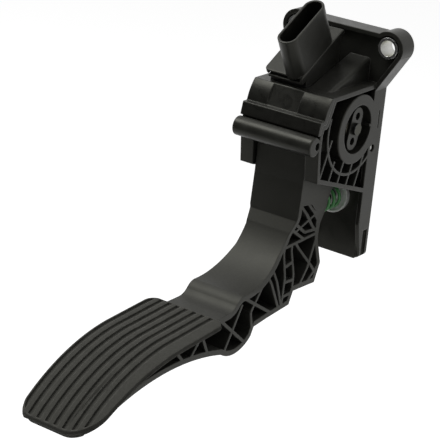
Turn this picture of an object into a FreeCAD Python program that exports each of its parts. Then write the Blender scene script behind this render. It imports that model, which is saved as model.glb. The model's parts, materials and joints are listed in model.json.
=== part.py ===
import FreeCAD, Part
import math
import os

os.makedirs("parts", exist_ok=True)
Vec = FreeCAD.Vector

# Accelerator pedal module: a moulded base that bolts to a bulkhead, a trussed pedal arm on a
# cross pivot, two return springs behind the arm and a position sensor on top.
# Millimetres. X to the right, Y back towards the bulkhead, Z up. The origin lies midway between
# the two bolt holes on the mounting face. Shapes are drawn about the pivot axis and moved last.

# Mounting plate
hole_spacing = 60.0
ear_radius = 9.5
ear_shoulder_out = 8.55
ear_shoulder_drop = 4.3
sleeve_outer = 12.0
sleeve_bore = 9.0
plate_depth = 12.6
rim_wall = 2.4
web_recess = 3.1
web_thick = 3.5
plate_above_holes = 7.2
plate_below_holes = 127.6
plate_corner = 3.0
slant_foot = 25.5
taper_height = 22.0
taper_depth = 5.2
back_rib = 1.8
back_rib_rows = 5
rim_slit = 0.8
rim_slit_y = 4.8
rim_slit_top = 7.0
rim_slit_foot = -3.5
rim_recess = 1.2
rim_recess_run = 4.6
rim_recess_y = 2.2
rim_recess_top = -65.5
rim_recess_foot = -81.5

# Pivot place, measured from the bolt holes and the mounting face
pivot_drop = 45.0
pivot_reach = 27.0
travel = 15.0

# Side walls of the base
base_width = 51.0
arm_slot = 34.4
wall_web = 2.2
left_skin = 1.5
frame_band = 2.4
wall_rib = 1.5
rib_lean = 9.9
rib_top = -14.0
rib_places = [-21.2, -10.5, 0.3, 10.6]
side_rib_top = (-26.4, -0.7)
side_rib_foot = (-35.8, -22.7)
arc_top = 12.0
arc_y = -3.0
arc_z = 3.0
arc_radius = 28.0
hub_outer = 20.0
hub_inner = 14.0
hub_spoke = 1.2
hub_weld = 1.0
hub_edge = 0.6
roof_height = 23.6
roof_thick = 2.6
wedge_rise = 14.0
wedge_right = 18.5
wedge_front = -22.0
wedge_round = 2.0
leg_foot_y = -37.2
leg_foot_z = -23.4
skirt_front_y = -33.0
skirt_front_z = -24.5
skirt_back_z = -40.5

# Front cover, drawn as steps down its outer face
cover_wall = 2.5
cover_top_y = -30.5
panel_run = 6.1
ledge_height = 12.0
ledge_depth = 3.6
band_lean = 1.6
band_bottom = 4.6
cover_edge = 0.6
panel_left = -12.5
panel_right = 7.5
cover_swell = 0.9

# Front cross roll
roll_radius = 5.5
roll_y = -43.5
roll_gap = 0.3
roll_hole = 2.2
roll_hole_shift = 2.4
roll_edge = 0.8
roll_hole_depth = 7.0

# Sensor housing on the roof
sensor_right = 4.7
sensor_width = 25.2
flange_rise = 6.2
flange_slope = 29.5
flange_length = 44.0
flange_thick = 2.4
flange_corner = 3.0
flange_edge = 0.5
skirt_inset = 2.0
slot_depth = 5.0
slot_roof = 0.8
slot_height = 1.8
slot_lip = 1.3
lip_forward = 0.8
sensor_wall = 2.0
seal_thick = 0.8
socket_length = 37.6
socket_width = 12.2
socket_height = 25.0
socket_wall = 1.4
socket_floor = 4.0
socket_front = -1.4
socket_side = 0.2
socket_edge = 0.4

# Connector pins, circuit board and sensor chips
pin_count = 6
pin_pitch = 4.0
pin_thick = 0.8
pin_width = 1.6
pin_above = 12.0
pin_below = 3.0
board_thick = 1.6
board_front = -22.5
board_back = 3.0
board_tongue = 11.0
board_clear = 1.8
board_shelf = 2.0
chip_width = 4.0
chip_height = 5.0
chip_thick = 1.8
chip_gap = 1.5

# Pivot
shaft_radius = 4.5
shaft_proud = 0.2
shaft_nose = 3.4
bush_wall = 1.6
run_fit = 0.05
running_gap = 0.3
bearing_boss = 2.0
bearing_height = 2.2
washer_thick = 0.8
washer_radius = 9.0
cap_thick = 1.8
cap_length = 24.5
cap_width = 11.0
cap_tilt = 13.0
cap_hole = 2.2
cap_hole_reach = 7.2

# Pedal arm about the pivot
drum_radius = 15.0
arm_crown = 13.5
groove_radius = 11.0
groove_width = 8.0
groove_clear = 9.0
magnet_thick = 2.0
magnet_edge = 0.5
magnet_middle = 90.0
magnet_span = 100.0
nose_y = -35.5
nose_top = 3.0
arm_flange = 3.0
arm_web = 3.0
arm_rib = 1.7
waist_inset = 2.0
shoulder_flare = 0.6
waist_start = -46.0
waist_top = -56.0
waist_foot = -66.0
flare_top = -79.0

# Side outline of the arm, each point as y and z about the pivot
crease = (-41.6, -54.0)
bend_middle = (-55.6, -69.8)
shoulder = (-84.8, -78.4)
crest_middle = (-88.6, -79.8)
drop_middle = (-91.0, -82.0)
hollow_middle = (-94.2, -84.2)
dip = (-98.5, -85.0)
step_rise = 0.2
tip_back = 8.0
tip_rise = 2.0
arch_back = 25.5
arch_rise = 3.1
arch_middle = (-146.7, -101.2)
arch_end = (-102.0, -107.2)
knee_middle = (-85.5, -110.4)
knee_end = (-74.6, -104.8)
rear_steps = [(-72.3, -100.0), (-60.6, -98.7), (-38.5, -97.0), (-35.3, -89.6), (-13.5, -90.6)]
heel = (-9.3, -79.7)
back_steps = [(-10.5, -62.8), (-7.3, -42.5), (2.0, -22.0)]
nose_corner = 4.0
front_steps = [(-36.1, -26.6), (-37.6, -48.0)]
gusset = [(-40.5, -39.0), (-24.0, -41.0), (-15.0, -51.0), (-13.0, -60.0)]

# Pedal pad
pad_width = 49.6
pad_thick = 2.2
pad_start_y = -112.0
pad_start_z = -83.0
pad_flat_y = -150.0
pad_flat_z = -85.3
pad_bend_y = -187.0
pad_bend_z = -92.8
pad_end_y = -222.8
pad_end_z = -110.4
pad_corner_far = 7.0
pad_corner_left = 9.0
pad_corner_right = 16.5
pad_lip = 0.4
pad_lip_height = 0.8
sweep_start_y = -150.0
sweep_middle_y = -184.0
sweep_middle = 1.2
sweep_end = 4.6
groove_count = 8
groove_first = -22.4
groove_pitch = 5.45
groove_gap = 2.6
groove_depth = 1.1
groove_rim = 0.8
carrier_thick = 2.5
carrier_inset = 2.5
carrier_overhang = 1.0
bed_shift = 0.8

# Return springs and their seat on the arm
spring_x = 4.4
spring_z = -47.0
seat_face_y = -5.5
seat_radius = 9.8
seat_thick = 1.8
seat_boss = 5.0
outer_coil = 7.4
outer_wire = 2.0
outer_turns = 3.5
inner_coil = 4.6
inner_wire = 1.4
inner_turns = 4.25
spigot_radius = 3.2
spigot_length = 5.0
cup_radius = 11.2
cup_thick = 1.0
cup_lip = 3.0

# Friction lining over the drum
lining_thick = 2.0
lining_from = 25.0
lining_to = 70.0
lining_x = 4.5
lining_width = 9.5
saddle_front = 7.0

# Stops and side pins
idle_width = 12.0
idle_height = 7.0
cross_wall = 2.3
stop_radius = 4.5
stop_x = -9.0
stop_z = -74.0
stop_stem = 2.0
pin_radius = 1.3
pin_mouth = 2.2
pin_y = 18.7
pin_z = -14.8
pin_length = 12.0
pin_recess = 0.9
pin_boss = 1.4

# Places worked out from the sizes above, about the pivot axis
mount_y = pivot_reach
rim_y = mount_y - plate_depth
web_y = rim_y + web_recess
web_back = web_y + web_thick
holes_z = pivot_drop
top_z = holes_z + plate_above_holes
bottom_z = holes_z - plate_below_holes
half_base = base_width / 2
wall_in = arm_slot / 2
web_out = wall_in + wall_web
arm_half = wall_in - washer_thick - running_gap
hub_top = web_out + bearing_height
cap_in = hub_top + running_gap
bush_radius = shaft_radius + bush_wall
roll_z = band_bottom - roll_gap - roll_radius
cover_foot_y = cover_top_y - panel_run
ledge_y = cover_foot_y - ledge_depth
band_y = ledge_y - band_lean
wall_front_y = band_y + cover_wall
sensor_left = sensor_right - sensor_width
slope = math.radians(flange_slope)
flange_y = cover_top_y
flange_z = roof_height + flange_rise
socket_x = sensor_right - socket_side - socket_width / 2
seat_z = roof_height + seal_thick
box_front = flange_y + slot_depth
box_back = flange_y + flange_length * math.cos(slope) - skirt_inset
box_left = sensor_left + skirt_inset
board_right = socket_x - pin_thick / 2
drum_front_x = board_right + chip_thick + running_gap * 3
groove_left = drum_front_x - groove_width
lining_in = drum_radius + running_gap
lining_out = lining_in + lining_thick
seat_back_y = seat_face_y - seat_thick
cup_y = web_y - cup_thick


def face_yz(points):
    wire = Part.makePolygon([Vec(0, y, z) for y, z in points + points[:1]])
    return Part.Face(wire)


def face_xz(points):
    wire = Part.makePolygon([Vec(x, 0, z) for x, z in points + points[:1]])
    return Part.Face(wire)


def across(face, x0, x1):
    return face.translated(Vec(x0, 0, 0)).extrude(Vec(x1 - x0, 0, 0))


def back_from(face, y0, y1):
    return face.translated(Vec(0, y0, 0)).extrude(Vec(0, y1 - y0, 0))


def box(x0, x1, y0, y1, z0, z1):
    return Part.makeBox(x1 - x0, y1 - y0, z1 - z0, Vec(x0, y0, z0))


def rod_x(radius, x0, x1, y=0.0, z=0.0):
    return Part.makeCylinder(radius, x1 - x0, Vec(x0, y, z), Vec(1, 0, 0))


def rod_y(radius, y0, y1, x=0.0, z=0.0):
    return Part.makeCylinder(radius, y1 - y0, Vec(x, y0, z), Vec(0, 1, 0))


def strip(p, q, width):
    run = math.hypot(q[0] - p[0], q[1] - p[1])
    side_y = -(q[1] - p[1]) / run * width / 2
    side_z = (q[0] - p[0]) / run * width / 2
    return face_yz([(p[0] + side_y, p[1] + side_z), (q[0] + side_y, q[1] + side_z),
                    (q[0] - side_y, q[1] - side_z), (p[0] - side_y, p[1] - side_z)])


def join(shapes):
    return shapes[0].multiFuse(shapes[1:]).removeSplitter()


def mirrored(shape):
    return shape.mirror(Vec(0, 0, 0), Vec(1, 0, 0))


def edges_at(shape, x=None, y=None, z=None):
    # The edges whose middle lies at the given places.
    found = shape.Edges
    for axis, place in (("x", x), ("y", y), ("z", z)):
        if place is not None:
            found = [e for e in found if abs(getattr(e.CenterOfMass, axis) - place) < 0.01]
    return found


def stadium(x, length, width, front, low, high):
    # An upright oblong prism, long in Y, used in the sensor housing's own slanted frame.
    radius = width / 2
    body = box(x - radius, x + radius, front + radius, front + length - radius, low, high)
    ends = [Part.makeCylinder(radius, high - low, Vec(x, y, low))
            for y in (front + radius, front + length - radius)]
    return join([body] + ends)


def on_slope(shape):
    # Moves a shape from the flange's own frame to its sloped place.
    turned = shape.copy()
    turned.rotate(Vec(0, 0, 0), Vec(1, 0, 0), flange_slope)
    return turned.translated(Vec(0, flange_y, flange_z))


def under_flange(y, depth):
    return flange_z + (y - flange_y) * math.tan(slope) - depth / math.cos(slope)


def export(shape, name):
    placed = shape.translated(Vec(0, -pivot_reach, -pivot_drop))
    placed.exportStep("parts/" + name + ".step")
    print(name, len(placed.Solids), placed.isValid(), round(placed.Volume, 1))


# Outlines shared by the base and the cover
wall_outline = [(web_back, roof_height), (cover_top_y + cover_wall, roof_height),
                (cover_foot_y + cover_wall, ledge_height - cover_wall),
                (ledge_y + cover_wall, ledge_height - cover_wall),
                (wall_front_y, band_bottom), (wall_front_y, roll_z - roll_radius),
                (leg_foot_y, leg_foot_z), (skirt_front_y, skirt_front_z),
                (rim_y, skirt_back_z), (web_back, skirt_back_z)]
cover_outline = [(cover_top_y, roof_height), (cover_foot_y, ledge_height),
                 (ledge_y, ledge_height), (band_y, band_bottom)] + wall_outline[4:0:-1]


def plate_outline():
    ear_x = hole_spacing / 2
    half = [(ear_x, top_z), (ear_x + ear_shoulder_out, holes_z - ear_shoulder_drop),
            (half_base, holes_z - slant_foot), (half_base, bottom_z)]
    body = face_xz(half + [(-x, z) for x, z in reversed(half)])
    ears = [Part.Face(Part.Wire(Part.makeCircle(ear_radius, Vec(x, 0, holes_z), Vec(0, 1, 0))))
            for x in (ear_x, -ear_x)]
    return join([body] + ears).Faces[0]


def plate_cuts():
    # The rounded lower corners, the open foot between tapered sides, and a slit and a recess in each side.
    foot = box(-half_base, half_base, rim_y, mount_y, bottom_z, bottom_z + plate_corner * 2)
    corners = edges_at(foot, x=half_base, z=bottom_z) + edges_at(foot, x=-half_base, z=bottom_z)
    slit_y = mount_y - rim_slit_y
    slit = box(half_base - rim_slit, half_base, slit_y - rim_slit / 2, slit_y + rim_slit / 2,
               rim_slit_foot, rim_slit_top)
    recess_y = mount_y - rim_recess_y
    recess = box(half_base - rim_recess, half_base, recess_y - rim_recess_run, recess_y,
                 rim_recess_foot, rim_recess_top)
    wedge = [(rim_y, bottom_z + taper_height), (rim_y + taper_depth, bottom_z), (rim_y, bottom_z)]
    taper = across(face_yz(wedge), half_base - rim_wall, half_base)
    sill = box(rim_wall - half_base, half_base - rim_wall, rim_y, web_y, bottom_z, bottom_z + rim_wall)
    return [foot.cut(foot.makeFillet(plate_corner, corners)), sill, taper, mirrored(taper),
            slit, mirrored(slit), recess, mirrored(recess)]


def mounting_plate():
    outline = plate_outline()
    inner = outline.makeOffset2D(-rim_wall)
    rim = back_from(outline, rim_y, mount_y).cut(back_from(inner, rim_y, mount_y))
    web = back_from(outline, web_y, web_back)
    behind = back_from(inner, web_back, mount_y)
    ribs = [box(x - back_rib / 2, x + back_rib / 2, web_back, mount_y, bottom_z, top_z)
            for x in (-half_base / 2, 0, half_base / 2)]
    spread = (top_z - bottom_z) / (back_rib_rows + 1)
    ribs += [box(-hole_spacing, hole_spacing, web_back, mount_y, z - back_rib / 2, z + back_rib / 2)
             for z in (bottom_z + spread * (i + 1) for i in range(back_rib_rows))]
    ribs = [rib.common(behind) for rib in ribs]
    ears = [rod_y(sleeve_outer / 2 + rim_wall, web_back, mount_y, x, holes_z)
            for x in (hole_spacing / 2, -hole_spacing / 2)]
    ears = [ear.common(back_from(outline, web_back, mount_y)) for ear in ears]
    return join([rim, web] + ribs + ears).cut(Part.makeCompound(plate_cuts()))


def side_wall():
    outline = face_yz(wall_outline)
    frame = across(outline.cut(outline.makeOffset2D(-frame_band)), wall_in, half_base)
    inside = across(outline, wall_in, half_base)
    ring = rod_x(hub_outer, wall_in, half_base)
    ring = ring.makeFillet(hub_edge, edges_at(ring, x=half_base)).cut(rod_x(hub_inner, web_out, half_base))
    bearing = rod_x(bush_radius + bearing_boss, wall_in, hub_top)
    spoke = box(web_out, half_base, shaft_radius * 2, hub_inner + hub_weld, -hub_spoke / 2, hub_spoke / 2)
    spoke = spoke.cut(rod_x(cap_length / 2 + running_gap, wall_in, half_base))
    arc = rod_x(arc_radius + wall_rib / 2, wall_in, half_base, arc_y, arc_z)
    arc = arc.cut(rod_x(arc_radius - wall_rib / 2, wall_in, half_base, arc_y, arc_z))
    low = box(wall_in, half_base, wall_front_y, web_back, skirt_back_z, -hub_outer / 2)
    arc = arc.common(low.fuse(box(wall_in, half_base, wall_front_y, -hub_outer, skirt_back_z, arc_top)))
    ends = [((y, rib_top), (y - rib_lean, skirt_back_z)) for y in rib_places]
    ends.append((side_rib_top, side_rib_foot))
    ribs = [across(strip(p, q, wall_rib), wall_in, half_base) for p, q in ends]
    ribs = [rib.common(inside).cut(rod_x(hub_outer - hub_weld, wall_in, half_base)) for rib in ribs]
    wall = join([frame, ring, bearing, arc.common(inside)] + ribs)
    wall = wall.fuse(spoke).removeSplitter()
    return wall.cut(rod_x(bush_radius, wall_in, half_base))


def left_wall(wall):
    # The other side wall, closed by a thin skin on its inner side.
    skin = across(face_yz(wall_outline), -wall_in - left_skin, -wall_in)
    return join([mirrored(wall), skin]).cut(rod_x(bush_radius, -half_base, -wall_in))


def roof():
    plate = box(-half_base, half_base, cover_top_y + cover_wall, web_back,
                roof_height - roof_thick, roof_height)
    window = box(box_left + sensor_wall, sensor_right - sensor_wall, box_front + sensor_wall,
                 box_back - sensor_wall, roof_height - roof_thick, roof_height)
    plate = plate.cut(window)
    wedge = across(face_yz([(wedge_front, roof_height), (web_back, roof_height + wedge_rise),
                            (web_back, roof_height)]), sensor_right + running_gap, wedge_right)
    wedge = wedge.makeFillet(wedge_round, edges_at(wedge, x=wedge_right, z=roof_height + wedge_rise / 2,
                                                   y=(wedge_front + web_back) / 2))
    saddle = box(lining_x, lining_x + lining_width, saddle_front, web_back,
                 lining_out * math.sin(math.radians(lining_from)), roof_height)
    saddle = saddle.cut(rod_x(lining_out, lining_x, lining_x + lining_width))
    return join([plate, wedge, saddle])


def cross_roll():
    roll = rod_x(roll_radius, -half_base, half_base, roll_y, roll_z)
    roll = roll.makeFillet(roll_edge, edges_at(roll, x=half_base) + edges_at(roll, x=-half_base))
    web = box(-half_base, half_base, wall_front_y, wall_front_y + cross_wall,
              roll_z - roll_radius, band_bottom)
    bridge = box(-half_base, half_base, roll_y, wall_front_y, roll_z - roll_radius / 2,
                 roll_z + roll_radius / 2)
    holes = [rod_x(roll_hole, x, x + roll_hole_depth, roll_y + roll_hole_shift, roll_z)
             for x in (-half_base, half_base - roll_hole_depth)]
    return join([roll, web, bridge]).cut(Part.makeCompound(holes))


def pin_places():
    inner_end = half_base - pin_recess - pin_length
    pin = rod_x(pin_radius, inner_end, half_base - pin_recess, pin_y, pin_z)
    mouth = rod_x(pin_mouth, half_base - pin_recess * 4, half_base, pin_y, pin_z)
    boss = rod_x(pin_mouth + pin_boss, inner_end, half_base, pin_y, pin_z)
    return pin, mouth, boss


def base_housing():
    pin, mouth, boss = pin_places()
    wall = side_wall()
    spigot = rod_y(spigot_radius, web_y - spigot_length, web_back, spring_x, spring_z)
    body = join([mounting_plate(), wall, left_wall(wall), roof(), cross_roll(), boss, mirrored(boss), spigot])
    cuts = [rod_y(sleeve_outer / 2, rim_y, mount_y, x, holes_z)
            for x in (hole_spacing / 2, -hole_spacing / 2)]
    cuts += [pin, mouth, mirrored(pin), mirrored(mouth), rod_y(stop_stem, web_y, web_back, stop_x, stop_z)]
    return body.cut(Part.makeCompound(cuts)).removeSplitter()


def front_cover():
    shell = across(face_yz(cover_outline), -half_base, half_base)
    bends = [edge for y, z in cover_outline[:4] for edge in edges_at(shell, x=0, y=y, z=z)]
    shell = shell.makeFillet(cover_edge, bends)
    # The leaning upper face swells on both sides of a flat panel.
    top, foot = Vec(0, cover_top_y, roof_height), Vec(0, cover_foot_y, ledge_height)
    outward = Vec(1, 0, 0).cross(top - foot).normalize()
    crown = (top + foot) * 0.5 + outward * cover_swell
    swell = Part.Face(Part.Wire([Part.Arc(top, crown, foot).toShape(), Part.makeLine(foot, top)]))
    return join([shell, across(swell, -half_base, panel_left), across(swell, panel_right, half_base)])


def sensor_housing(pins):
    flange = Part.makeBox(sensor_width, flange_length, flange_thick, Vec(sensor_left, 0, -flange_thick))
    flange = flange.makeFillet(flange_corner, edges_at(flange, x=sensor_left, z=-flange_thick / 2))
    flange = flange.makeFillet(flange_edge, edges_at(flange, z=0))
    tube = stadium(socket_x, socket_length, socket_width, socket_front, -flange_thick / 2, socket_height)
    hollow = stadium(socket_x, socket_length - socket_wall * 2, socket_width - socket_wall * 2,
                     socket_front + socket_wall, socket_floor, socket_height)
    tube = tube.cut(hollow)
    tube = tube.makeFillet(socket_edge, edges_at(tube, z=socket_height))
    # A slot opens in the flange's front edge, over a lip.
    slot_left, slot_low = sensor_left + flange_corner, -slot_roof - slot_height
    slot = box(slot_left, sensor_right - slot_lip, -lip_forward, slot_depth, slot_low, -slot_roof)
    lip = box(slot_left, sensor_right, -lip_forward, slot_depth * 2, slot_low - slot_lip, -flange_thick / 2)
    top = on_slope(join([flange, tube, lip]).cut(hollow.fuse(slot)))
    outer = across(face_yz([(box_front, seat_z), (box_front, under_flange(box_front, flange_thick / 2)),
                            (box_back, under_flange(box_back, flange_thick / 2)), (box_back, seat_z)]),
                   box_left, sensor_right)
    front, back = box_front + sensor_wall, box_back - sensor_wall
    cavity = across(face_yz([(front, seat_z), (front, under_flange(front, flange_thick)),
                             (back, under_flange(back, flange_thick)), (back, seat_z)]),
                    box_left + sensor_wall, sensor_right - sensor_wall)
    return join([top.cut(cavity), outer.cut(cavity)]).cut(pins)


def sensor_seal():
    ring = box(box_left, sensor_right, box_front, box_back, roof_height, seat_z)
    hole = box(box_left + sensor_wall, sensor_right - sensor_wall, box_front + sensor_wall,
               box_back - sensor_wall, roof_height, seat_z)
    return ring.cut(hole)


def connector_pins():
    # Straight blades whose lower ends lap the board's face.
    first = socket_front + socket_length / 2 - pin_pitch * (pin_count - 1) / 2
    blades = [box(board_right, board_right + pin_thick, t - pin_width / 2, t + pin_width / 2,
                  -flange_thick - pin_below, socket_floor + pin_above)
              for t in (first + pin_pitch * i for i in range(pin_count))]
    return Part.makeCompound([on_slope(blade) for blade in blades])


def circuit_board():
    low = groove_radius + board_clear
    shelf = seat_z + board_shelf
    tongue_front = board_back - board_tongue
    outline = [(tongue_front, low), (board_back, low), (board_back, under_flange(board_back, flange_thick)),
               (board_front, under_flange(board_front, flange_thick)), (board_front, shelf),
               (tongue_front, shelf)]
    return across(face_yz(outline), board_right - board_thick, board_right)


def sensor_chips():
    low = groove_radius + board_clear
    start = board_back - board_tongue / 2 - chip_width - chip_gap / 2
    chips = [box(board_right, board_right + chip_thick, y, y + chip_width, low, low + chip_height)
             for y in (start, start + chip_width + chip_gap)]
    return Part.makeCompound(chips)


def rotor_magnet():
    ring = rod_x(drum_radius - magnet_edge, drum_front_x, drum_front_x + magnet_thick)
    ring = ring.cut(rod_x(groove_radius + magnet_edge, drum_front_x, drum_front_x + magnet_thick))
    first, last = magnet_middle - magnet_span / 2, magnet_middle + magnet_span / 2
    return ring.common(sector(first, last, drum_radius * 2))


def sector(start, end, reach):
    # A wedge seen from the side between two angles, measured from the back towards the top.
    points = [(0.0, 0.0)]
    for i in range(5):
        angle = math.radians(start + (end - start) * i / 4)
        points.append((reach * math.cos(angle), reach * math.sin(angle)))
    return across(face_yz(points), -half_base, half_base)


def bush():
    return rod_x(bush_radius, wall_in, hub_top).cut(rod_x(shaft_radius + run_fit, wall_in, hub_top))


def thrust_washer():
    return rod_x(washer_radius, arm_half, arm_half + washer_thick).cut(
        rod_x(shaft_radius, arm_half, arm_half + washer_thick))


def pivot_shaft():
    end = half_base + shaft_proud
    return join([rod_x(shaft_nose, -end, end), rod_x(shaft_radius, -cap_in, cap_in)])


def pivot_cap():
    radius = cap_width / 2
    reach = cap_length / 2 - radius
    out = cap_in + cap_thick
    bar = box(cap_in, out, -radius, radius, -reach, reach)
    cap = join([bar] + [rod_x(radius, cap_in, out, 0, z) for z in (-reach, reach)])
    holes = [rod_x(cap_hole, cap_in, out, 0, z) for z in (-cap_hole_reach, cap_hole_reach)]
    cap = cap.cut(Part.makeCompound(holes + [rod_x(shaft_nose, cap_in, out)]))
    cap.rotate(Vec(0, 0, 0), Vec(1, 0, 0), -cap_tilt)
    return cap


# The pad's top line, and the bed on the arm below it
pad_line = [(pad_start_y, pad_start_z), (pad_flat_y, pad_flat_z),
            (pad_bend_y, pad_bend_z), (pad_end_y, pad_end_z)]


def pad_edges(drop):
    # The pad's top line lowered by a depth: a straight run and then an arc.
    points = [Vec(0, y + bed_shift * drop / pad_thick, z - drop) for y, z in pad_line]
    return Part.makeLine(points[0], points[1]), Part.Arc(points[1], points[2], points[3]).toShape()


def pad_band(high, low):
    # The region between two depths below the pad's top line.
    top_line, top_arc = pad_edges(high)
    low_line, low_arc = pad_edges(low)
    ends = [Part.makeLine(top_arc.Vertexes[-1].Point, low_arc.Vertexes[-1].Point),
            Part.makeLine(low_line.Vertexes[0].Point, top_line.Vertexes[0].Point)]
    return Part.Face(Part.Wire([top_line, top_arc, ends[0], low_arc, low_line, ends[1]]))


def swept_edges(x, far, near):
    # A line along the pad that bends inwards towards its near end.
    points = [Vec(x, far, 0), Vec(x, sweep_start_y, 0), Vec(x + sweep_middle, sweep_middle_y, 0),
              Vec(x + sweep_end, near, 0)]
    return [Part.makeLine(points[0], points[1]), Part.Arc(points[1], points[2], points[3]).toShape()]


def upright(left, right):
    # The tall prism between two such lines, closed at both ends.
    ends = [Part.makeLine(left[0].Vertexes[0].Point, right[0].Vertexes[0].Point),
            Part.makeLine(left[-1].Vertexes[-1].Point, right[-1].Vertexes[-1].Point)]
    face = Part.Face(Part.Wire(Part.__sortEdges__(left + right + ends)))
    return face.translated(Vec(0, 0, pad_end_z * 2)).extrude(Vec(0, 0, -pad_end_z * 2))


def pad_plan(inset):
    # The pad seen from above, with its rounded corners and swept left edge.
    half = pad_width / 2 - inset
    far, near = pad_start_y + bed_shift - inset, pad_end_y + inset
    plan = upright(swept_edges(-half, far, near), [Part.makeLine(Vec(half, far, 0), Vec(half, near, 0))])
    for x, y, radius in ((half, near, pad_corner_right), (sweep_end - half, near, pad_corner_left),
                         (half, far, pad_corner_far), (-half, far, pad_corner_far)):
        plan = plan.makeFillet(radius - inset, edges_at(plan, x=x, y=y))
    return plan


def pedal_pad():
    half = pad_width / 2
    foot = across(pad_band(pad_thick - pad_lip_height, pad_thick), -half, half).common(pad_plan(0))
    top = across(pad_band(0, pad_thick), -half, half).common(pad_plan(pad_lip))
    pad = join([top, foot])
    skin = across(pad_band(-groove_depth, groove_depth), -half, half).common(pad_plan(pad_lip + groove_rim))
    far = pad_start_y + bed_shift
    grooves = []
    for left in (groove_first - groove_gap / 2 + groove_pitch * i for i in range(groove_count)):
        band = upright(swept_edges(left, far, pad_end_y), swept_edges(left + groove_gap, far, pad_end_y))
        grooves.append(skin.common(band))
    return pad.cut(Part.makeCompound(grooves))


def arm_outline():
    def at(point):
        return Vec(0, *point)

    def arc(first, middle, last):
        return Part.Arc(at(first), at(middle), at(last)).toShape()

    bed_line, bed_arc = pad_edges(pad_thick)
    bed_start, bed_end = bed_line.Vertexes[0].Point, bed_arc.Vertexes[-1].Point
    step = Vec(0, bed_start.y, bed_start.z + step_rise)
    tip = Vec(0, bed_end.y + tip_back, bed_end.z + tip_rise)
    arch_start = (bed_end.y + arch_back, bed_end.z + arch_rise)
    top = [(arm_crown, 0.0), (0.0, arm_crown), (nose_y + nose_corner, nose_top),
           (nose_y, nose_top - nose_corner)]
    chain = [at(p) for p in [knee_end] + rear_steps + [heel] + back_steps + top + front_steps + [crease]]
    edges = [arc(crease, bend_middle, shoulder), arc(shoulder, crest_middle, drop_middle),
             arc(drop_middle, hollow_middle, dip), Part.makeLine(at(dip), step),
             Part.makeLine(step, bed_start), bed_line, bed_arc,
             Part.makeLine(bed_end, tip), Part.makeLine(tip, at(arch_start)),
             arc(arch_start, arch_middle, arch_end), arc(arch_end, knee_middle, knee_end)]
    edges += [Part.makeLine(chain[i], chain[i + 1]) for i in range(len(chain) - 1)]
    return Part.Face(Part.Wire(edges))


# Ribs of the truss, as pairs of ends about the pivot
truss = [((-36.0, -38.5), (-13.0, -60.5)), ((-12.0, -46.0), (-36.0, -55.5)), ((-28.0, -39.5), (-14.0, -52.5)),
         ((-40.0, -48.0), (-25.2, -57.9)), ((-25.2, -57.9), (-9.0, -59.1)),
         ((-40.5, -52.0), (-25.4, -62.0)), ((-25.4, -62.0), (-9.5, -61.6)), ((-25.4, -62.0), (-44.0, -62.4)),
         ((-33.3, -62.5), (-12.0, -86.5)), ((-11.0, -64.0), (-32.0, -91.5)), ((-9.0, -79.0), (-25.5, -91.0)),
         ((-37.0, -62.0), (-36.4, -92.0)), ((-44.4, -62.0), (-46.2, -98.0)),
         ((-45.5, -73.3), (-36.5, -72.2)), ((-46.0, -81.8), (-36.5, -82.4)), ((-46.4, -90.5), (-35.5, -90.0)),
         ((-57.0, -69.5), (-45.5, -97.5)), ((-61.3, -73.5), (-48.0, -98.0)),
         ((-65.0, -75.0), (-76.6, -90.3)), ((-76.6, -90.3), (-73.0, -105.0)),
         ((-84.5, -79.5), (-54.0, -98.0)), ((-85.5, -83.0), (-100.0, -108.0)),
         ((-106.0, -85.8), (-78.0, -108.5)),
         ((-121.2, -90.0), (-132.5, -102.5)), ((-121.2, -90.0), (-113.0, -105.5)),
         ((-143.5, -92.0), (-134.0, -102.5)), ((-176.5, -97.5), (-169.0, -105.5))]


def arm_sides():
    # The arm seen from the front: a slight waist below the crease and a flare at the shoulder.
    waist, flare = arm_half - waist_inset, arm_half + shoulder_flare
    right = [(arm_half, drum_radius * 2), (arm_half, waist_start), (waist, waist_top), (waist, waist_foot),
             (flare, flare_top), (flare, pad_end_z * 2)]
    outline = face_xz(right + [(-x, z) for x, z in reversed(right)])
    return back_from(outline, pad_end_y, web_back)


def pedal_arm(magnet):
    outline = arm_outline()
    reach = arm_half + shoulder_flare
    skin = outline.cut(outline.makeOffset2D(-arm_flange))
    body = across(outline, -reach, reach)
    above = [(web_back, gusset[-1][1]), (web_back, drum_radius * 2), (gusset[0][0], drum_radius * 2)]
    top_fill = body.common(across(face_yz(gusset + above), -reach, reach))
    ribs = [across(strip(p, q, arm_rib), -reach, reach).common(body) for p, q in truss]
    arm = join([across(skin, -reach, reach), across(outline, -arm_web / 2, arm_web / 2), top_fill] + ribs)
    tip = box(-reach, reach, pad_end_y, pad_end_y + pad_corner_right, pad_end_z * 2, 0)
    arm = arm.common(arm_sides()).cut(tip.cut(pad_plan(carrier_inset)))
    carrier_half = reach + carrier_overhang
    carrier = across(pad_band(pad_thick, pad_thick + carrier_thick), -carrier_half, carrier_half)
    carrier = carrier.common(pad_plan(carrier_inset))
    drum = rod_x(drum_radius, -arm_half, arm_half)
    boss = rod_y(seat_radius, seat_back_y - seat_boss, seat_back_y, spring_x, spring_z)
    arm = join([arm, carrier, drum, boss])
    groove = rod_x(drum_radius + groove_clear, groove_left, drum_front_x)
    groove = groove.cut(rod_x(groove_radius, groove_left, drum_front_x))
    groove = groove.common(box(groove_left, drum_front_x, nose_y, drum_radius * 2, 0, drum_radius * 2))
    seat = rod_y(seat_radius + running_gap, seat_back_y, web_back, spring_x, spring_z)
    arm = arm.cut(Part.makeCompound([rod_x(shaft_radius, -arm_half, arm_half), seat]))
    return arm.cut(groove).cut(magnet).removeSplitter()


def spring_seat():
    disc = rod_y(seat_radius, seat_back_y, seat_face_y, spring_x, spring_z)
    spigot = rod_y(spigot_radius, seat_face_y, seat_face_y + spigot_length / 2, spring_x, spring_z)
    return join([disc, spigot])


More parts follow.
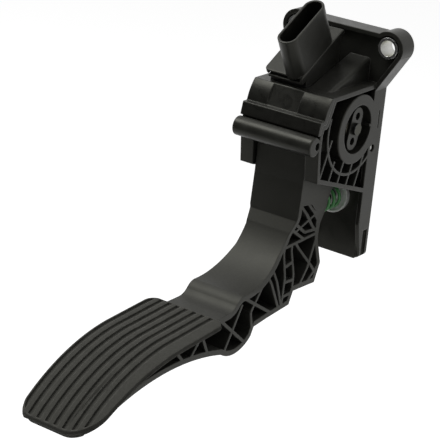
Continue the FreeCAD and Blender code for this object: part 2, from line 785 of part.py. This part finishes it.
def coil_spring(coil, wire, turns):
    gap = running_gap / 3
    low, high = seat_face_y + gap + wire / 2, cup_y - gap - wire / 2
    pitch = (high - low) / turns
    helix = Part.makeLongHelix(pitch, high - low, coil)
    ring = Part.Wire(Part.makeCircle(wire / 2, Vec(coil, 0, 0), Vec(0, 2 * math.pi * coil, pitch)))
    coilshape = Part.Wire(helix).makePipeShell([ring], True, True)
    coilshape.rotate(Vec(0, 0, 0), Vec(1, 0, 0), -90)
    return coilshape.translated(Vec(spring_x, low, spring_z))


def spring_cup():
    cup = rod_y(cup_radius, web_y - cup_lip, web_y, spring_x, spring_z)
    cup = cup.cut(rod_y(cup_radius - cup_thick, web_y - cup_lip, cup_y, spring_x, spring_z))
    return cup.cut(rod_y(spigot_radius, cup_y, web_y, spring_x, spring_z))


def friction_lining():
    x1 = lining_x + lining_width
    ring = rod_x(lining_out, lining_x, x1).cut(rod_x(lining_in, lining_x, x1))
    return ring.common(sector(lining_from, lining_to, lining_out * 2))


def idle_stop():
    back = wall_front_y + cross_wall
    return box(-idle_width / 2, idle_width / 2, back, nose_y - running_gap,
               roll_z - idle_height / 2, roll_z + idle_height / 2)


def full_stop():
    swing = math.radians(travel)
    front = heel[0] * math.cos(swing) - heel[1] * math.sin(swing) + running_gap
    head = rod_y(stop_radius, front, web_y, stop_x, stop_z)
    return join([head, rod_y(stop_stem, web_y, web_back, stop_x, stop_z)])


def mounting_sleeve(x):
    bore = rod_y(sleeve_bore / 2, rim_y, mount_y, x, holes_z)
    return rod_y(sleeve_outer / 2, rim_y, mount_y, x, holes_z).cut(bore)


pins = connector_pins()
magnet = rotor_magnet()
side_pin = pin_places()[0]

export(base_housing(), "base_housing")
export(front_cover(), "front_cover")
export(sensor_housing(pins), "sensor_housing")
export(sensor_seal(), "sensor_seal")
export(pins, "connector_pins")
export(circuit_board(), "circuit_board")
export(sensor_chips(), "sensor_chips")
export(magnet, "rotor_magnet")
export(bush(), "bush_right")
export(mirrored(bush()), "bush_left")
export(thrust_washer(), "thrust_washer_right")
export(mirrored(thrust_washer()), "thrust_washer_left")
export(pivot_shaft(), "pivot_shaft")
export(pivot_cap(), "pivot_cap_right")
export(mirrored(pivot_cap()), "pivot_cap_left")
export(pedal_arm(magnet), "pedal_arm")
export(pedal_pad(), "pedal_pad")
export(spring_seat(), "spring_seat")
export(coil_spring(outer_coil, outer_wire, outer_turns), "return_spring_outer")
export(coil_spring(inner_coil, inner_wire, inner_turns), "return_spring_inner")
export(spring_cup(), "spring_cup")
export(friction_lining(), "friction_lining")
export(idle_stop(), "idle_stop")
export(full_stop(), "full_travel_stop")
export(mounting_sleeve(hole_spacing / 2), "mounting_sleeve_right")
export(mounting_sleeve(-hole_spacing / 2), "mounting_sleeve_left")
export(Part.makeCompound([side_pin, mirrored(side_pin)]), "side_pins")
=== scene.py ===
import json
import math
import bpy
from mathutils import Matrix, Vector


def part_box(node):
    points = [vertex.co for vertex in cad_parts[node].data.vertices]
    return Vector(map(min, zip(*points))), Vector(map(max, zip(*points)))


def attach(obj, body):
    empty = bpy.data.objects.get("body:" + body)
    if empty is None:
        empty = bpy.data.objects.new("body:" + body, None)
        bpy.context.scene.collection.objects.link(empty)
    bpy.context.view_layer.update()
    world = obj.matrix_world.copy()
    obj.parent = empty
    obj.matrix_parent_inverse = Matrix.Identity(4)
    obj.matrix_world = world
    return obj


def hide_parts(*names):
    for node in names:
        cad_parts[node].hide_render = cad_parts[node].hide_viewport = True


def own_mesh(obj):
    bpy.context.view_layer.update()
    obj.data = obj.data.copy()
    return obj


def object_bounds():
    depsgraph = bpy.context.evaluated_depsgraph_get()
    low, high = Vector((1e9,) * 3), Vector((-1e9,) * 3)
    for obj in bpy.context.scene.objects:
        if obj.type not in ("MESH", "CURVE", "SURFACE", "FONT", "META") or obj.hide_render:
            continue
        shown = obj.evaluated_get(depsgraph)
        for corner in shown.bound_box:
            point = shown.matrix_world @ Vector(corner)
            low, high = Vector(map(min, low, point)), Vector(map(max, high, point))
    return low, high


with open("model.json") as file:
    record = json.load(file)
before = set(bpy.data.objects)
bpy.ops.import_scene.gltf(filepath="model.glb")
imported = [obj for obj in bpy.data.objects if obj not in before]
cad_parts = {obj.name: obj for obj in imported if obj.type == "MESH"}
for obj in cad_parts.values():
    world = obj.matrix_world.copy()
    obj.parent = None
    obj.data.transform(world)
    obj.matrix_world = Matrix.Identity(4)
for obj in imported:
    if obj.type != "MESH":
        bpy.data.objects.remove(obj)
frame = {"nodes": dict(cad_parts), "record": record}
nodes = frame["nodes"]
scene = bpy.context.scene
cadLow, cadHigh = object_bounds()
bpy.ops.object.select_all(action="DESELECT")
print("frame in:", len(nodes), "nodes")


# camera, set to the photograph's angle
viewFrom = dict(place=(0.48242, -0.83675, 0.24206), turn=(69.3488, -5.0305, 35.7219),
                lens=143.18, sensor=36.0, nearest=0.01)

bpy.ops.object.camera_add(location=viewFrom["place"], rotation=[math.radians(t) for t in viewFrom["turn"]])
camera = bpy.context.object
camera.data.lens = viewFrom["lens"]
camera.data.sensor_width = viewFrom["sensor"]
camera.data.clip_start = viewFrom["nearest"]
scene.camera = camera
scene.view_settings.view_transform = "Standard"
print("camera set")


# small helpers for node trees
def put(tree, kind, settings=None, **sockets):
    node = tree.nodes.new(kind)
    for name, value in (settings or {}).items():
        setattr(node, name, value)
    for name, value in sockets.items():
        node.inputs[name.replace("_", " ")].default_value = value
    return node


def wire(tree, *pairs):
    for out, into in pairs:
        tree.links.new(out, into)


# one maths node, fed by sockets or plain numbers
def maths(tree, operation, *feeds):
    node = put(tree, "ShaderNodeMath", {"operation": operation})
    for socket, feed in zip(node.inputs, feeds):
        if isinstance(feed, float):
            socket.default_value = feed
        else:
            tree.links.new(feed, socket)
    return node.outputs[0]


# a value taken from one range to another and held within it
def spread(tree, source, fromLow, fromHigh, toLow=0.0, toHigh=1.0):
    node = put(tree, "ShaderNodeMapRange", {"clamp": True}, From_Min=fromLow, From_Max=fromHigh,
               To_Min=toLow, To_Max=toHigh)
    tree.links.new(source, node.inputs["Value"])
    return node.outputs["Result"]


# noise fixed to the piece, with features of the size that is fed in
def noiseOf(tree, size, **sockets):
    coord = put(tree, "ShaderNodeTexCoord")
    noise = put(tree, "ShaderNodeTexNoise", **sockets)
    wire(tree, (coord.outputs["Object"], noise.inputs["Vector"]),
         (maths(tree, "DIVIDE", 1.0, size), noise.inputs["Scale"]))
    return noise.outputs["Fac"]


# 1 for what is looked at, straight on, in a reflection or through glass, and 0 for plain light
def seenMask(tree):
    path = put(tree, "ShaderNodeLightPath")
    straight = maths(tree, "MAXIMUM", path.outputs["Is Camera Ray"], path.outputs["Is Glossy Ray"])
    return maths(tree, "MAXIMUM", straight, path.outputs["Is Transmission Ray"])


def newGroup(name, inputs, outputs):
    group = bpy.data.node_groups.new(name, "ShaderNodeTree")
    for label, value in inputs.items():
        socket = group.interface.new_socket(label, in_out="INPUT", socket_type="NodeSocketFloat")
        socket.default_value = value
    for label, kind in outputs.items():
        group.interface.new_socket(label, in_out="OUTPUT", socket_type=kind)
    return group, group.nodes.new("NodeGroupInput"), group.nodes.new("NodeGroupOutput")


def placeGroup(tree, group, values):
    node = tree.nodes.new("ShaderNodeGroup")
    node.node_tree = group
    for label, value in values.items():
        node.inputs[label].default_value = value
    return node


def newMaterial(name):
    material = bpy.data.materials.new(name)
    material.use_nodes = True
    return material, material.node_tree


# fine tooling grain with slow flow marks
def makeMouldGrain():
    group, start, end = newGroup("mouldGrain", {"Grain Size": 0.0004, "Flow Size": 0.012, "Flow": 0.5},
                                 {"Height": "NodeSocketFloat", "Mottle": "NodeSocketFloat"})
    grain = noiseOf(group, start.outputs["Grain Size"], Detail=3.0, Roughness=0.6)
    flow = noiseOf(group, start.outputs["Flow Size"], Detail=4.0, Roughness=0.55, Distortion=1.2)
    mix = put(group, "ShaderNodeMix", {"data_type": "FLOAT"})
    wire(group, (start.outputs["Flow"], mix.inputs["Factor"]), (grain, mix.inputs["A"]),
         (flow, mix.inputs["B"]), (grain, end.inputs["Height"]),
         (mix.outputs["Result"], end.inputs["Mottle"]))
    return group


# edges made lighter, partly as wear and partly as a painted highlight: a rounded normal held against the flat
# one, broken up by noise
edgeWearAndHighlightPlan = dict(samples=6, turn=(0.995, 0.86), patches=(0.32, 0.62))


def makeEdgeWearAndHighlight():
    group, start, end = newGroup("edgeWearAndHighlight", {"Radius": 0.0006, "Patch Size": 0.004, "Amount": 1.0},
                                 {"Mask": "NodeSocketFloat", "Normal": "NodeSocketVector"})
    bevel = put(group, "ShaderNodeBevel", {"samples": edgeWearAndHighlightPlan["samples"]})
    flat = put(group, "ShaderNodeNewGeometry")
    dot = put(group, "ShaderNodeVectorMath", {"operation": "DOT_PRODUCT"})
    wire(group, (start.outputs["Radius"], bevel.inputs["Radius"]), (bevel.outputs["Normal"], dot.inputs[0]),
         (flat.outputs["Normal"], dot.inputs[1]))
    edge = spread(group, dot.outputs["Value"], *edgeWearAndHighlightPlan["turn"])
    patches = noiseOf(group, start.outputs["Patch Size"], Detail=3.0, Roughness=0.65)
    broken = maths(group, "MULTIPLY", edge, spread(group, patches, *edgeWearAndHighlightPlan["patches"]))
    wire(group, (maths(group, "MULTIPLY", broken, start.outputs["Amount"]), end.inputs["Mask"]),
         (bevel.outputs["Normal"], end.inputs["Normal"]))
    return group


# dust that settles where a face looks up
dustPlan = dict(upward=(0.25, 1.0), specks=(0.45, 0.8), speckSize=0.0015, colour=(0.16, 0.155, 0.145, 1.0))


def makeSettledDust():
    group, start, end = newGroup("settledDust", {"Amount": 0.3, "Speck Size": 0.002},
                                 {"Mask": "NodeSocketFloat"})
    face = put(group, "ShaderNodeNewGeometry")
    parts = put(group, "ShaderNodeSeparateXYZ")
    wire(group, (face.outputs["Normal"], parts.inputs[0]))
    upward = spread(group, parts.outputs["Z"], *dustPlan["upward"])
    specks = noiseOf(group, start.outputs["Speck Size"], Detail=6.0, Roughness=0.7)
    settled = maths(group, "MULTIPLY", upward, spread(group, specks, *dustPlan["specks"]))
    wire(group, (maths(group, "MULTIPLY", settled, start.outputs["Amount"]), end.inputs["Mask"]))
    return group


mouldGrain = makeMouldGrain()
edgeWearAndHighlight = makeEdgeWearAndHighlight()
settledDust = makeSettledDust()
print("shared effects built")


# one finish: colour with mottle, lighter edges (wear and a painted highlight), dust, roughness and grain from
# the shared effects
finishPlan = dict(flow=0.6, mottle=(0.3, 0.7), patchShare=1 / 3, bumpShare=0.5, warmLightTint=(1.0, 1.0, 0.87, 1.0))


def finish(name, look):
    material, tree = newMaterial(name)
    shader = tree.nodes["Principled BSDF"]
    shader.inputs["Specular IOR Level"].default_value = look["gloss"]
    shader.inputs["Metallic"].default_value = look["metal"]
    # reflections tinted warm: a painted tint that stands in for the warm colour of the light
    shader.inputs["Specular Tint"].default_value = finishPlan["warmLightTint"]
    grain = placeGroup(tree, mouldGrain, {"Grain Size": look["grain"], "Flow Size": look["flow"],
                                          "Flow": finishPlan["flow"]})
    wearAndHighlight = placeGroup(tree, edgeWearAndHighlight, {"Radius": look["edge"], "Amount": look["wearAndHighlight"],
                                     "Patch Size": look["flow"] * finishPlan["patchShare"]})
    dust = placeGroup(tree, settledDust, {"Amount": look["dust"], "Speck Size": dustPlan["speckSize"]})
    tone = put(tree, "ShaderNodeValToRGB")
    shares = (look["dark"], look["light"])
    for stop, place, share in zip(tone.color_ramp.elements, finishPlan["mottle"], shares):
        stop.position = place
        stop.color = [c * share for c in look["colour"]] + [1.0]
    # edges mixed toward a lighter colour: wear, and on the black plastics and the pad mostly a painted edge
    # highlight
    wornAndHighlit = put(tree, "ShaderNodeMix", {"data_type": "RGBA"})
    wornAndHighlit.inputs["B"].default_value = list(look["wearAndHighlightColour"]) + [1.0]
    dusty = put(tree, "ShaderNodeMix", {"data_type": "RGBA"})
    dusty.inputs["B"].default_value = dustPlan["colour"]
    rough = spread(tree, grain.outputs["Mottle"], *finishPlan["mottle"],
                   look["rough"] - look["roughSpread"], look["rough"] + look["roughSpread"])
    bump = put(tree, "ShaderNodeBump", Strength=look["bump"],
               Distance=look["grain"] * finishPlan["bumpShare"])
    wire(tree, (grain.outputs["Mottle"], tone.inputs["Fac"]), (wearAndHighlight.outputs["Mask"], wornAndHighlit.inputs["Factor"]),
         (tone.outputs["Color"], wornAndHighlit.inputs["A"]), (dust.outputs["Mask"], dusty.inputs["Factor"]),
         (wornAndHighlit.outputs["Result"], dusty.inputs["A"]), (dusty.outputs["Result"], shader.inputs["Base Color"]),
         (rough, shader.inputs["Roughness"]), (grain.outputs["Height"], bump.inputs["Height"]),
         (wearAndHighlight.outputs["Normal"], bump.inputs["Normal"]), (bump.outputs["Normal"], shader.inputs["Normal"]))
    return material


# three plain finishes, and what each material slot changes on one of them
# the lighter edge colours of the black plastics and the pad rubber are painted edge highlights
blackMoulding = dict(colour=(0.0135, 0.0135, 0.0118), dark=0.8, light=1.2, wearAndHighlightColour=(0.085, 0.085, 0.08),
                     wearAndHighlight=0.7, edge=0.0008, grain=0.00035, flow=0.014, rough=0.35, roughSpread=0.05,
                     bump=0.16, gloss=0.26, metal=0.0, dust=0.10)
padRubber = dict(blackMoulding, colour=(0.054, 0.0537, 0.0475), light=1.15, wearAndHighlightColour=(0.14, 0.138, 0.124),
                 wearAndHighlight=0.8, edge=0.0011, grain=0.0005, flow=0.02, rough=0.62, roughSpread=0.08, bump=0.3,
                 gloss=0.07, dust=0.22)
bareSteel = dict(colour=(0.52, 0.52, 0.51), dark=0.8, light=1.1, wearAndHighlightColour=(0.72, 0.72, 0.7), wearAndHighlight=0.7,
                 edge=0.0003, grain=0.0003, flow=0.004, rough=0.34, roughSpread=0.1, bump=0.12,
                 gloss=0.5, metal=1.0, dust=0.05)
looks = {
    "base_plastic": dict(blackMoulding, colour=(0.019, 0.019, 0.0165), dark=0.65, light=1.4, roughSpread=0.08,
                         gloss=0.21),
    "cover_plastic": dict(blackMoulding, dark=0.65, light=1.4, rough=0.31, roughSpread=0.1, flow=0.009,
                          gloss=0.22),
    "sensor_plastic": dict(blackMoulding, colour=(0.011, 0.011, 0.0097), roughSpread=0.08, flow=0.01,
                           gloss=0.28),
    "cap_plastic": dict(blackMoulding, rough=0.34, edge=0.0005),
    "arm_plastic": dict(blackMoulding, flow=0.026, rough=0.55, gloss=0.36),
    "pad_rubber": padRubber,
    "seal_rubber": dict(padRubber, colour=(0.02, 0.02, 0.02), wearAndHighlightColour=(0.03, 0.03, 0.03), grain=0.0008,
                        dust=0.05),
    "stop_rubber": dict(padRubber, colour=(0.024, 0.024, 0.024), wearAndHighlightColour=(0.04, 0.04, 0.04)),
    "tinned_brass": dict(bareSteel, colour=(0.62, 0.58, 0.5), wearAndHighlightColour=(0.7, 0.55, 0.3), grain=0.0002,
                         rough=0.26),
    "board_laminate": dict(blackMoulding, colour=(0.02, 0.12, 0.045), wearAndHighlightColour=(0.3, 0.25, 0.12), grain=0.0002,
                           gloss=0.4),
    "chip_plastic": dict(blackMoulding, colour=(0.02, 0.02, 0.021), grain=0.0002, rough=0.55),
    "bonded_magnet": dict(bareSteel, colour=(0.10, 0.10, 0.105), wearAndHighlightColour=(0.2, 0.2, 0.2), metal=0.6,
                          rough=0.5),
    "bush_polymer": dict(blackMoulding, colour=(0.36, 0.34, 0.28), wearAndHighlightColour=(0.45, 0.43, 0.36), gloss=0.35),
    "lining_polymer": dict(blackMoulding, colour=(0.26, 0.22, 0.15), wearAndHighlightColour=(0.35, 0.3, 0.2), grain=0.0006,
                           bump=0.3),
    "shaft_steel": dict(bareSteel, colour=(0.05, 0.05, 0.05), wearAndHighlightColour=(0.2, 0.2, 0.2), rough=0.45),
    "spring_steel": dict(bareSteel, colour=(0.34, 0.34, 0.33), rough=0.32),
    "coated_spring": dict(blackMoulding, colour=(0.07, 0.30, 0.09), dark=0.7, light=1.25,
                          wearAndHighlightColour=(0.25, 0.42, 0.22), edge=0.0003, grain=0.0003, flow=0.003, rough=0.36,
                          gloss=0.4),
    "cup_steel": dict(bareSteel, colour=(0.9, 0.9, 0.88), metal=0.3, rough=0.4),
    "sleeve_steel": dict(bareSteel, colour=(0.5, 0.5, 0.49), rough=0.38),
}
finishes = {slot: finish(slot, look) for slot, look in looks.items()}
for part in frame["record"]["subparts"]:
    mesh = nodes[part["node"]].data
    mesh.materials.clear()
    mesh.materials.append(finishes[part["material_slot"]])
print("finishes on:", len(finishes))


# return springs, wound in the space of their nodes and pressed together by the pedal
returnSprings = dict(
    outer=dict(node="return_spring_outer", slot="coated_spring", wire=0.001, turns=3.5, keep=0.33),
    inner=dict(node="return_spring_inner", slot="spring_steel", wire=0.0007, turns=4.25, keep=0.36),
    sides=12, steps=40, smooth=40.0)


def windSpring(name, plan):
    low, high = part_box(plan["node"])
    radius = (high.x - low.x) / 2 - plan["wire"]
    middle = ((low.x + high.x) / 2, (low.z + high.z) / 2)
    run = high.y - low.y - 2 * plan["wire"]
    bpy.ops.mesh.primitive_circle_add(vertices=returnSprings["sides"], radius=plan["wire"],
                                      location=(radius, 0, 0), rotation=(math.radians(90), 0, 0))
    spring = bpy.context.object
    spring.name = name
    bpy.ops.object.transform_apply()
    coil = spring.modifiers.new("coil", "SCREW")
    coil.axis = "Z"
    coil.angle = math.radians(360 * plan["turns"])
    coil.screw_offset = run
    coil.steps = coil.render_steps = int(returnSprings["steps"] * plan["turns"])
    coil.use_merge_vertices = False
    bpy.ops.object.modifier_apply(modifier="coil")
    bpy.ops.object.mode_set(mode="EDIT")
    bpy.ops.mesh.select_all(action="DESELECT")
    bpy.ops.mesh.select_mode(type="EDGE")
    bpy.ops.mesh.select_non_manifold()
    bpy.ops.mesh.fill()  # close the two cut ends of the wire
    bpy.ops.mesh.select_all(action="SELECT")
    bpy.ops.mesh.normals_make_consistent(inside=False)
    bpy.ops.object.mode_set(mode="OBJECT")
    spring.rotation_euler = (math.radians(-90), 0, 0)  # from upright to along the plate's normal
    spring.location = (middle[0], low.y + plan["wire"], middle[1])
    bpy.ops.object.transform_apply()
    bpy.ops.object.shade_smooth_by_angle(angle=math.radians(returnSprings["smooth"]))
    spring.data.materials.append(finishes[plan["slot"]])
    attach(spring, "base")
    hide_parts(plan["node"])
    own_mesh(spring)
    spring.select_set(False)


windSpring("outerReturnSpring", returnSprings["outer"])
windSpring("innerReturnSpring", returnSprings["inner"])
print("springs wound")


# pale floor below the hanging part, white for the camera and for reflections
floorPlan = dict(size=80.0, drop=0.16, tone=0.5, lift=0.78)

floorHeight = cadLow.z - floorPlan["drop"]
bpy.ops.mesh.primitive_plane_add(size=floorPlan["size"], location=(0, 0, floorHeight))
floor = bpy.context.object
floor.name = "floor"
paleFloor, floorTree = newMaterial("paleFloor")
floorTree.nodes.remove(floorTree.nodes["Principled BSDF"])
matte = put(floorTree, "ShaderNodeBsdfDiffuse", Color=(floorPlan["tone"],) * 3 + (1.0,))
glow = put(floorTree, "ShaderNodeEmission", Color=(1.0, 1.0, 1.0, 1.0))
total = put(floorTree, "ShaderNodeAddShader")
lift = maths(floorTree, "MULTIPLY", seenMask(floorTree), floorPlan["lift"])
wire(floorTree, (lift, glow.inputs["Strength"]), (matte.outputs[0], total.inputs[0]),
     (glow.outputs[0], total.inputs[1]),
     (total.outputs[0], floorTree.nodes["Material Output"].inputs["Surface"]))
floor.data.materials.append(paleFloor)


# world: white to look at, weaker as light
room = dict(light=0.28, seen=1.0)

world = bpy.data.worlds.new("studio")
world.use_nodes = True
scene.world = world
roomTree = world.node_tree
back = roomTree.nodes["Background"]
back.inputs["Color"].default_value = (1.0, 1.0, 1.0, 1.0)
level = spread(roomTree, seenMask(roomTree), 0.0, 1.0, room["light"], room["seen"])
wire(roomTree, (level, back.inputs["Strength"]))


# wide softbox high on the left, a weak fill from the right, both turned to the arm
lampAim = Vector((0, -0.08, -0.09))
lamps = dict(softbox=dict(place=(-0.56, -0.34, 0.90), size=0.62, power=9.2),
             fill=dict(place=(1.1, 0.5, 0.5), size=0.9, power=1.5))

for name, lamp in lamps.items():
    bpy.ops.object.light_add(type="AREA", location=lamp["place"])
    light = bpy.context.object
    light.name = name
    light.data.size = lamp["size"]
    light.data.energy = lamp["power"]
    light.rotation_euler = (lampAim - light.location).to_track_quat("-Z", "Y").to_euler()


# dark card leaning back at the front left, there in reflections only, so that fronts stay black
card = dict(width=2.2, height=1.5, away=0.6, heading=205.0, lean=20.0, tone=0.01)

heading = math.radians(card["heading"])
lean = math.radians(card["lean"])
reach = card["away"] + card["height"] / 2 * math.sin(lean)
rise = card["height"] / 2 * math.cos(lean)
bpy.ops.mesh.primitive_plane_add(size=1, rotation=(math.radians(90) + lean, 0, math.pi - heading))
flag = bpy.context.object
flag.name = "darkCard"
flag.scale = (card["width"], card["height"], 1)
flag.location = (reach * math.sin(heading), reach * math.cos(heading), floorHeight + rise)
bpy.ops.object.transform_apply()
blackCloth, clothTree = newMaterial("blackCloth")
cloth = clothTree.nodes["Principled BSDF"]
cloth.inputs["Base Color"].default_value = (card["tone"],) * 3 + (1.0,)
cloth.inputs["Roughness"].default_value = 1.0
flag.data.materials.append(blackCloth)
flag.visible_camera = flag.visible_diffuse = flag.visible_shadow = False
print("stage and light set")
